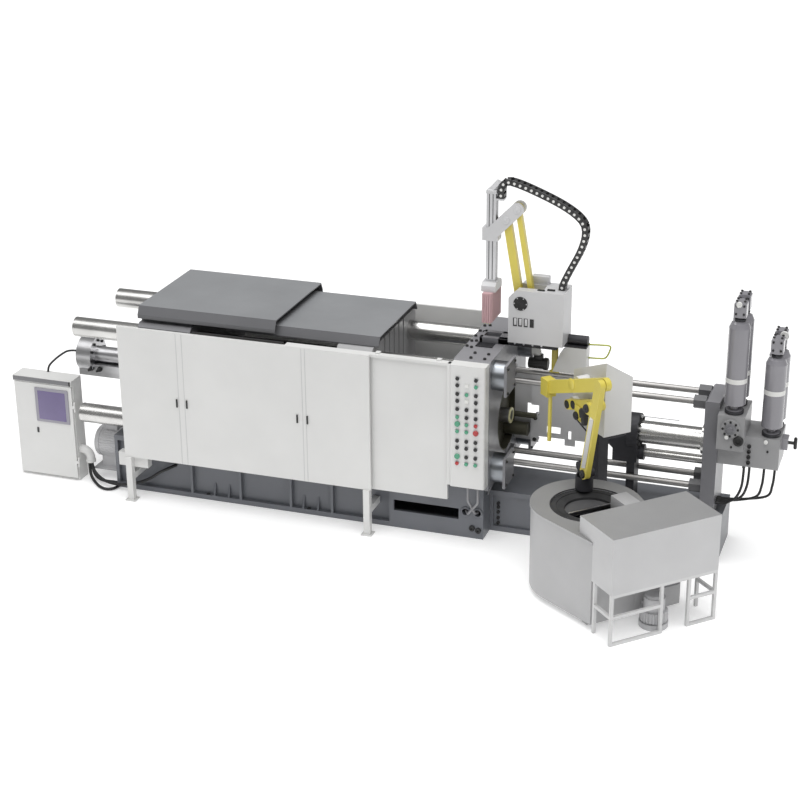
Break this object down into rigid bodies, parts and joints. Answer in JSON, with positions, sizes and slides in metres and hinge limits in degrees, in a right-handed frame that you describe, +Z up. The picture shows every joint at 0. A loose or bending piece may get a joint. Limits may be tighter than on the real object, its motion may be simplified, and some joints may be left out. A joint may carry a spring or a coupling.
{
  "type": "cold chamber die casting machine",
  "caption": "Cold chamber die casting machine with guarded clamp unit, injection unit, spray robot, ladle robot, holding furnace and control cabinet.",
  "frame": {"origin": "on the floor under the die face of the fixed platen, on the machine axis", "axes": "+X towards the injection end, +Y away from the operator, +Z up"},
  "size_m": [9.106, 3.4426, 4.0174],
  "materials": {
    "panel_white": "satin paint",
    "cover_grey": "satin paint",
    "base_grey": "semi-gloss paint",
    "platen_grey": "semi-gloss paint",
    "bar_chrome": "polished",
    "steel": "machined",
    "dark_steel": "blackened",
    "light_grey": "satin paint",
    "yellow": "semi-gloss paint",
    "furnace_grey": "satin paint",
    "lining": "rough",
    "melt": "liquid",
    "bottle_grey": "satin paint",
    "spray_pink": "satin",
    "black_plastic": "matte",
    "tube_white": "satin paint",
    "cable": "matte"
  },
  "bodies": {
    "frame": {"machine_base": "base_grey", "injection_base": "base_grey", "fixed_platen": "platen_grey", "rear_platen": "platen_grey", "tie_bars": "bar_chrome", "tie_bar_nuts": "steel", "tie_bar_caps": "steel", "clamp_cylinder": "steel", "pump_motor": "light_grey", "junction_box": "panel_white", "guard_panel_left": "panel_white", "guard_panel_middle": "panel_white", "guard_panel_right": "panel_white", "guard_frame": "tube_white", "back_guard": "panel_white", "upper_cover": "cover_grey", "control_box": "panel_white", "shot_disc": "dark_steel", "shot_sleeve": "steel", "injection_cylinder": "bar_chrome", "cylinder_support": "dark_steel", "injection_rods": "bar_chrome", "end_plate": "platen_grey", "rod_nuts": "dark_steel", "rear_panel": "light_grey", "valve_manifold": "base_grey", "accumulators": "bottle_grey", "accumulator_valves": "bottle_grey", "furnace_body": "furnace_grey", "furnace_lining": "lining", "furnace_bath": "melt", "charging_hood": "panel_white", "hood_frame": "tube_white", "blower": "light_grey", "ladle_column": "dark_steel", "ladle_housing": "light_grey", "spray_base": "dark_steel", "spray_tank": "panel_white", "spray_housing": "light_grey", "drag_chain": "black_plastic", "cabinet_body": "panel_white", "cabinet_cable_1": "cable", "cabinet_cable_2": "cable", "cabinet_cable_3": "cable", "top_cable": "cable", "box_conduits": "light_grey"},
    "clamp": {"moving_platen": "platen_grey", "lower_cover": "cover_grey"},
    "shot": {"plunger": "steel"},
    "safety_door": {"safety_door": "panel_white"},
    "cabinet_door": {"cabinet_door": "panel_white"},
    "ladle_arm": {"ladle_upper_arm": "yellow"},
    "ladle_link": {"ladle_lower_link": "yellow"},
    "ladle_forearm": {"ladle_forearm": "yellow"},
    "ladle_cup": {"ladle_cup": "dark_steel"},
    "spray_arm": {"spray_main_arm": "yellow"},
    "spray_rear_arm": {"spray_rear_arm": "yellow"},
    "spray_boom": {"spray_beam": "light_grey", "spray_post": "steel", "spray_head": "spray_pink"}
  },
  "joints": [
    {"name": "clamp_stroke", "type": "slide", "parent": "frame", "child": "clamp", "axis": [-1, 0, 0], "range_m": [-0.5, 0]},
    {"name": "plunger_stroke", "type": "slide", "parent": "frame", "child": "shot", "axis": [1, 0, 0], "range_m": [-1.4, 0]},
    {"name": "safety_door_slide", "type": "slide", "parent": "frame", "child": "safety_door", "axis": [-1, 0, 0], "range_m": [0, 0.85]},
    {"name": "cabinet_door_swing", "type": "hinge", "parent": "frame", "child": "cabinet_door", "pos_m": [-4.722, -0.622, 0.6], "axis": [0, 0, 1], "range_deg": [0, 100]},
    {"name": "ladle_arm_swing", "type": "hinge", "parent": "frame", "child": "ladle_arm", "pos_m": [1.35764, -0.86691, 2.102], "axis": [0.7071, 0.7071, 0], "range_deg": [-20, 0]},
    {"name": "ladle_link_swing", "type": "hinge", "parent": "frame", "child": "ladle_link", "pos_m": [1.22047, -0.72973, 1.787], "axis": [0.7071, 0.7071, 0], "range_deg": [-20, 0]},
    {"name": "ladle_forearm_swing", "type": "hinge", "parent": "ladle_arm", "child": "ladle_forearm", "pos_m": [1.78686, -1.29613, 2.305], "axis": [0.7071, 0.7071, 0], "range_deg": [0, 20]},
    {"name": "ladle_pour", "type": "hinge", "parent": "ladle_forearm", "child": "ladle_cup", "pos_m": [1.62776, -1.13703, 1.24], "axis": [0.7071, 0.7071, 0], "range_deg": [0, 40]},
    {"name": "spray_arm_swing", "type": "hinge", "parent": "frame", "child": "spray_arm", "pos_m": [0.55774, -0.03, 2.55726], "axis": [0, -1, 0], "range_deg": [0, 45], "deforming": ["drag_chain"]},
    {"name": "spray_rear_arm_swing", "type": "hinge", "parent": "frame", "child": "spray_rear_arm", "pos_m": [0.67996, -0.03, 2.68251], "axis": [0, -1, 0], "range_deg": [0, 45]},
    {"name": "spray_boom_level", "type": "hinge", "parent": "spray_arm", "child": "spray_boom", "pos_m": [0.38062, -0.03, 3.56177], "axis": [0, -1, 0], "range_deg": [-45, 0]}
  ],
  "couplings": [
    {"joint": "ladle_link_swing", "follows": "ladle_arm_swing", "ratio": 1},
    {"joint": "ladle_forearm_swing", "follows": "ladle_arm_swing", "ratio": -1},
    {"joint": "spray_rear_arm_swing", "follows": "spray_arm_swing", "ratio": 1},
    {"joint": "spray_boom_level", "follows": "spray_arm_swing", "ratio": -1}
  ]
}
